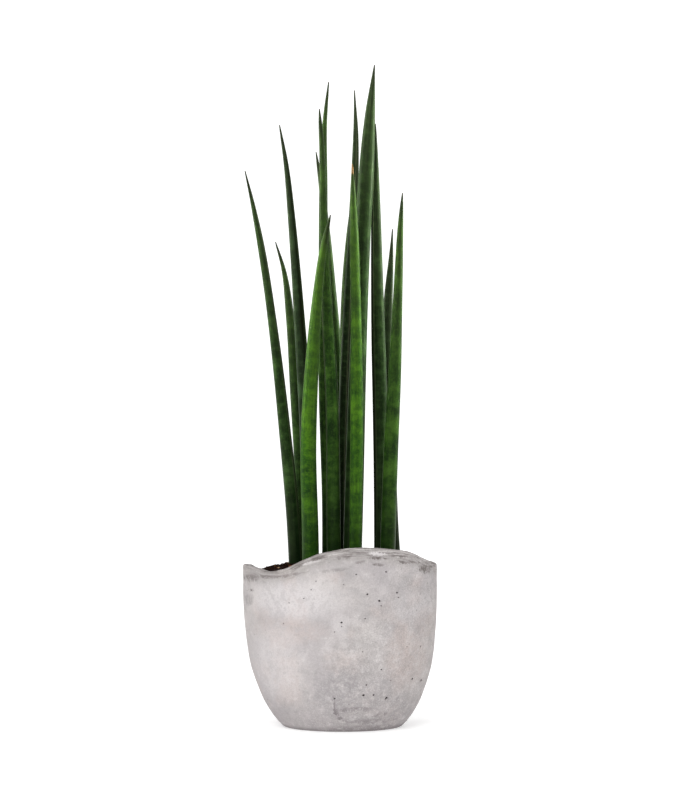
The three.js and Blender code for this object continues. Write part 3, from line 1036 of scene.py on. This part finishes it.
# %% Bands, blots and specks
def banded(g, here):
    middle = g.mix(here.green, linear("#121d0f"), linear("#2c5512"))
    colour = g.mix(here.bands.between(0.32, 0.54), here.deep, middle)
    colour = g.mix(here.bands.between(0.5, 0.72) * 0.7, colour, here.light)
    colour = g.mix(here.blots.between(0.5, 0.66) * 0.3, colour, here.light)
    colour = g.mix(here.blots.between(0.48, 0.32) * 0.42, colour, here.deep)
    colour = g.mix(here.strokes.between(0.5, 0.66) * 0.22, colour, here.light)
    colour = g.mix(here.strokes.between(0.5, 0.34) * 0.35, colour, here.deep)
    colour = g.mix(here.dashes.between(0.52, 0.66) * 0.5, colour, here.deep)
    colour = g.mix(here.dashes.between(0.46, 0.34) * 0.36, colour, here.light)
    colour = g.mix(here.specks.between(0.5, 0.62) * 0.3, colour, here.deep)
    colour = g.mix(here.specks.between(0.48, 0.38) * 0.22, colour, here.light)
    return g.mix(here.lines.between(0.58, 0.74) * 0.25, colour, here.deep)


# %% [markdown]
# The upper part of a leaf is more olive and greyer, and a painted shade darkens its foot, where the clump
# shades it. The channel is nearly black with painted shade, matt, with a thin pale edge, and the last few
# millimetres dry to a small spine. These follow the leaf's shape and age, so they are mixed in by place and
# not by chance.

# %% Channel, tip and foot
def aged(g, here, colour):
    olive = g.mix(here.green, linear("#23291d"), linear("#394a22"))
    colour = g.mix(here.tip.between(230.0, 20.0) * 0.55, colour, olive)
    # painted shade: the channel is made nearly black
    colour = g.mix(here.groove * 0.95, colour, linear("#030502"))
    colour = g.mix(here.ridge * 0.2, colour, linear("#8a8c70"))
    colour = g.mix(here.tip.between(36.0, 7.0) * 0.78, colour, linear("#1a1c16"))
    dried = g.mix(here.dry.between(4.0, 11.0), linear("#2e2822"), linear("#8c6843"))
    spine = (here.dry - here.tip + (here.specks - 0.5) * 3.0).between(0.0, 2.0)
    colour = g.mix(spine * 0.7, colour, dried)
    # painted shade: the foot of each leaf is darkened, more on darker leaves
    return g.mix(here.along.between(120.0, 30.0) * (0.95 - here.green * 0.75), colour, here.deep)


def leaf_skin():
    material, g = new_material("leaf_skin")
    here = read_leaf(g)
    colour = aged(g, here, banded(g, here))
    rough = 0.32 + (here.blots - 0.5) * 0.12 + here.tip.between(12.0, 2.0) * 0.25 + here.groove * 0.5
    relief = g.bump(here.lines * 0.6 + here.fine * 0.4, 0.3, 0.0003)
    relief = g.bump(here.bands + here.blots * 0.5, 0.25, 0.0008, relief)
    finish_material(g, **{"Base Color": colour, "Roughness": rough, "Normal": relief, "IOR": 1.42,
                          "Specular IOR Level": 0.35, "Specular Tint": linear("#cfe8a8"),
                          "Sheen Weight": 0.15, "Sheen Roughness": 0.45, "Sheen Tint": linear("#9cc873")})
    return material


skin_finish = leaf_skin()
print("leaf skin:", len(skin_finish.node_tree.nodes), "nodes")

# %% [markdown]
# ## Fourteen leaves from one tree
# The real leaves rise from one clump, and each has its own bend, tone and dry tip. Modelled one by one they
# would drift apart in style, so one tree grows them all: a line goes in with that leaf's numbers, and the
# finished rod comes out as a mesh of its own.

# %% Grow the fourteen leaves
def channel_side(mesh):
    """The way that the channel faces half way up, in degrees from the front to the right."""
    values = {name: np.empty(len(mesh.vertices)) for name in ("along", "channel")}
    for name, flat in values.items():
        mesh.attributes[name].data.foreach_get("value", flat)
    middle = abs(values["along"] / values["along"].max() - 0.5) < 0.03
    points = points_of(mesh)
    out = points[middle & (values["channel"] > 0.9)].mean(axis=0) - points[middle].mean(axis=0)
    return math.degrees(math.atan2(out[0], -out[1]))


traits = zip(LEAVES, CHANNEL_SIDES, CHANNEL_WIDTHS, DRY_TIPS, GREENS)
for number, (leaf, turn, width, dry, green) in enumerate(traits, 1):
    stick = line_object(f"line_{number:02d}", list(leaf_line(leaf)))
    run_tree(stick, leaf_rule, Channel_Turn=math.radians(turn), Channel_Width=width,
             Dry_Tip=dry * MM, Green=green, Seed=float(number), Finish=skin_finish)
    stick = plain_mesh(stick, f"green_leaf_{number:02d}")
    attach(stick, "root")
    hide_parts(f"leaf_{number:02d}")
    "leaf_" + next(name for name, limit in SLOTS.items() if green < limit)
    print(f"leaf {number}: channel at {channel_side(stick.data):.0f} degrees")
print("each leaf:", triangles(stick.data), "triangles")

# %% [markdown]
# ## Crumbs and bark chips
# The surface of the mix is what shows from above: crumbs of peat, bits of bark and a few pale grains. The
# same scatter tree strews them over the open ground, which is the top of the bed away from the wall and
# from the leaves' feet.

# %% Mark the open ground
SURFACE_POINT = 10
FOOT_MARGIN = 2.0
TOP_LAYER = 3


def mark_open_ground(mesh, wall_margin):
    feet = [list(leaf_line(leaf))[SURFACE_POINT][0] for leaf in LEAVES]
    widths = [leaf[4][0] / 2 for leaf in LEAVES]
    marks = []
    for x, y, z in points_of(mesh) / MM:
        free = min(math.hypot(x - f.x, y - f.y) - w for f, w in zip(feet, widths))
        top = z > soil_height(x, y) - TOP_LAYER
        open_here = top and free > FOOT_MARGIN and math.hypot(x, y) < SOIL_RADIUS - wall_margin
        marks.append(1.0 if open_here else 0.0)
    set_attribute(mesh, "open_ground", marks)


print("ground kept clear round", len(LEAVES), "leaf feet, by", FOOT_MARGIN, "mm")

# %% [markdown]
# Bark breaks along its fibres into flat, angular flakes. A cube with each edge halved, whose corners noise
# has pushed about, gives such a flake with only 24 faces, which counts when dozens are strewn. Blender
# shifts noise_vector by a seed that it takes from the clock, so a fixed seed is set first, and the flakes
# are the same in every run.

# %% A bark chip
BARK_SEED = 5
noise.seed_set(BARK_SEED)


def bark_chip(name, seed, stretch):
    """An angular flake of bark, two millimetres across before its stretch."""
    chip = bmesh.new()
    bmesh.ops.create_cube(chip, size=2.0)
    bmesh.ops.subdivide_edges(chip, edges=chip.edges[:], cuts=1, use_grid_fill=True)
    for v in chip.verts:
        shift = noise.noise_vector(v.co * 0.9 + Vector((seed * 2.3, seed * 5.1, 1.0)))
        v.co += shift * 0.45
        v.co = Vector([c * s * MM for c, s in zip(v.co, stretch)])
    mesh = bpy.data.meshes.new(name)
    chip.to_mesh(mesh)
    chip.free()
    return mesh


# %% [markdown]
# The mix is nearly black where it is damp. The bits range from orange brown to pinkish beige, with some grey
# ones. One finish serves them all, because each bit keeps its own tone from the scatter tree. Both finishes
# hardly shine, as dry peat doesn't.

# %% Soil and bark finishes
def potting_mix():
    material, g = new_material("potting_mix")
    place = g.add("ShaderNodeTexCoord", None, None, "Object")
    crumbs = g.noise(place, 420, 4, 0.7)
    fibres = g.noise(g.scaled(place, (1, 3, 1)), 700, 3, 0.6)
    colour = g.mix(crumbs.between(0.35, 0.62), linear("#0b0502"), linear("#25120a"))
    colour = g.mix(fibres.between(0.62, 0.72) * 0.5, colour, linear("#4e341f"))
    relief = g.bump(crumbs, 0.9, 0.002)
    relief = g.bump(fibres, 0.6, 0.0008, relief)
    finish_material(g, **{"Base Color": colour, "Roughness": 0.95, "Normal": relief,
                          "Specular IOR Level": 0.05})
    return material


def bark():
    material, g = new_material("bark")
    place = g.add("ShaderNodeTexCoord", None, None, "Object")
    tone = g.attribute("bit_tone")
    stops = [(0.0, linear("#0e0704")), (0.42, linear("#27130a")), (0.66, linear("#472612")),
             (0.8, linear("#6f4222")), (0.9, linear("#9c7448")), (0.96, linear("#b09a86")),
             (1.0, linear("#77736f"))]
    ramp = g.add("ShaderNodeValToRGB", {"stops": stops}, {0: tone})
    layers = g.noise(g.scaled(place, (1, 1, 4)), 500, 4, 0.65)
    colour = g.mix(layers.between(0.45, 0.65) * 0.5, ramp, linear("#1f0f08"))
    relief = g.bump(layers, 0.8, 0.0012)
    finish_material(g, **{"Base Color": colour, "Roughness": 0.88, "Normal": relief,
                          "Specular IOR Level": 0.08})
    return material


bark_finish = bark()
print("bark finish:", len(bark_finish.node_tree.nodes), "nodes")

# %% [markdown]
# Crumbs are rounded lumps and chips are flat flakes. A painted surface would look flat along the rim, so a
# few shapes of each kind are strewn, crumbs nearly up to the wall and the larger chips further in. A row
# holds the name, the shapes, the margin at the wall, the spacing, how many there are on a square metre, the
# smallest and the largest size, the sink, the tilt and the seed.

# %% Strew crumbs and chips
soil.data.materials.append(potting_mix())
crumb_shapes = shape_collection("crumbs", [
    lumpy_ball("crumb", k, 1, (1.0, 0.75 + 0.1 * k, 0.6), 0.9) for k in range(4)])
chip_shapes = shape_collection("chips", [
    bark_chip("chip", 1, (1.0, 0.48, 0.26)), bark_chip("chip", 2, (1.0, 0.6, 0.2)),
    bark_chip("chip", 3, (1.0, 0.34, 0.3)), bark_chip("chip", 4, (0.8, 0.7, 0.24)),
    bark_chip("chip", 5, (1.0, 0.42, 0.4))])

STREWN = [("soil_crumbs", crumb_shapes, 5, 1.7, 90000, 0.6, 1.6, 0.2, 0.8, 5),
          ("soil_chips", chip_shapes, 15, 4.4, 16000, 1.4, 4.2, 0.6, 0.3, 8)]
for name, shapes, margin, spacing, density, smallest, largest, sink, tilt, seed in STREWN:
    strewn = new_object(name, soil.data.copy())
    mark_open_ground(strewn.data, margin)
    run_tree(strewn, scatter, Shapes=shapes, Spacing=spacing * MM, Density=density, Smallest=smallest,
             Largest=largest, Sink=sink * MM, Tilt=tilt, Seed=seed, Finish=bark_finish)
    strewn = plain_mesh(strewn, name)
    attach(strewn, "root")
    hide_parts("soil")
    print(name, triangles(strewn.data), "triangles")

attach(soil, "root")
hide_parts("soil")

# %% [markdown]
# ## A white ground
# The photograph has a pure white ground with hardly any shadow. A table with a wall behind it would show an
# edge, so a single sheet runs under the plant and curves up behind it. It glows faintly, which keeps the
# shadow pale.

# %% The white sweep
def sweep():
    """A floor that curves up into a back wall."""
    bend = 1.2
    profile = [(-0.75, 0.0), (2.0, 0.0)]
    for turn in np.linspace(0.1, math.pi / 2, 12):
        profile.append((2.0 + bend * math.sin(turn), bend * (1 - math.cos(turn))))
    profile.append((2.0 + bend, 4.0))
    verts = [(side * (1.6 - 0.12 * y), y, z) for y, z in profile for side in (-1, 1)]
    faces = [(2 * k, 2 * k + 1, 2 * k + 3, 2 * k + 2) for k in range(len(profile) - 1)]
    mesh = bpy.data.meshes.new("studio_floor")
    mesh.from_pydata(verts, [], faces)
    mesh.shade_smooth()
    material, g = new_material("studio_white")
    finish_material(g, **{"Base Color": (0.7, 0.7, 0.7, 1), "Roughness": 0.9,
                          "Emission Color": (1, 1, 1, 1), "Emission Strength": 0.52})
    mesh.materials.append(material)
    return new_object("studio_floor", mesh)


floor = sweep()
floor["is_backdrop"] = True
print("sweep:", triangles(floor.data), "triangles")

# %% [markdown]
# ## Lights
# A large soft light from the upper left front models the pot: its left half is brightest and its edges fall
# away. A lamp from above opens the shadows. Side panels and two narrow beams brighten the flanks of the
# leaves, so that they look round. The beams leave no mirror image, because that would draw a hard white
# line down every leaf. The wall has lamps of its own, which keep the ground white.

# %% The lights
def soft_light(name, place, target, width, height, power, spread=180, mirrored=True):
    data = bpy.data.lights.new(name, "AREA")
    data.shape = "RECTANGLE"
    data.size, data.size_y, data.energy = width, height, power
    data.spread = math.radians(spread)
    light = new_object(name, data)
    light.location = place
    light.visible_glossy = mirrored
    light.rotation_euler = (Vector(target) - Vector(place)).to_track_quat("-Z", "Y").to_euler()


soft_light("key_light", (-0.55, -2.3, 1.9), (0, 0, 0.2), 1.6, 1.6, 47)
soft_light("top_light", (0, -0.1, 2.4), (0, 0, 0.2), 1.4, 1.4, 16)
soft_light("left_panel", (-1.5, 0.15, 0.66), (0, 0, 0.56), 1.2, 0.4, 0.45, 40)
soft_light("right_panel", (1.5, 0.25, 0.66), (0, 0, 0.56), 1.2, 0.4, 0.6, 40)
soft_light("left_strip", (-1.4, 0.0, 0.47), (0, 0, 0.48), 0.4, 0.3, 1.6, 22, False)
soft_light("right_strip", (1.4, 0.2, 0.47), (0, 0, 0.48), 0.4, 0.3, 2.7, 22, False)
for side in (-1, 1):
    soft_light("wall_light", (side * 1.8, 1.2, 1.8), (side * 0.4, 3.2, 0.8), 1.0, 1.0, 20)

world = bpy.data.worlds.new("studio_air")
bpy.context.scene.world = world
world.use_nodes = True
world.node_tree.nodes["Background"].inputs["Color"].default_value = (1, 1, 1, 1)
world.node_tree.nodes["Background"].inputs["Strength"].default_value = 0.3
bpy.context.scene.view_settings.view_transform = "Standard"
print("lights:", len(bpy.data.lights))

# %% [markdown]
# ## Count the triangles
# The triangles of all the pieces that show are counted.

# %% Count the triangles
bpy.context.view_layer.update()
total = sum(triangles(o.data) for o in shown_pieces() if o.type == "MESH")
print("triangles in all:", total)
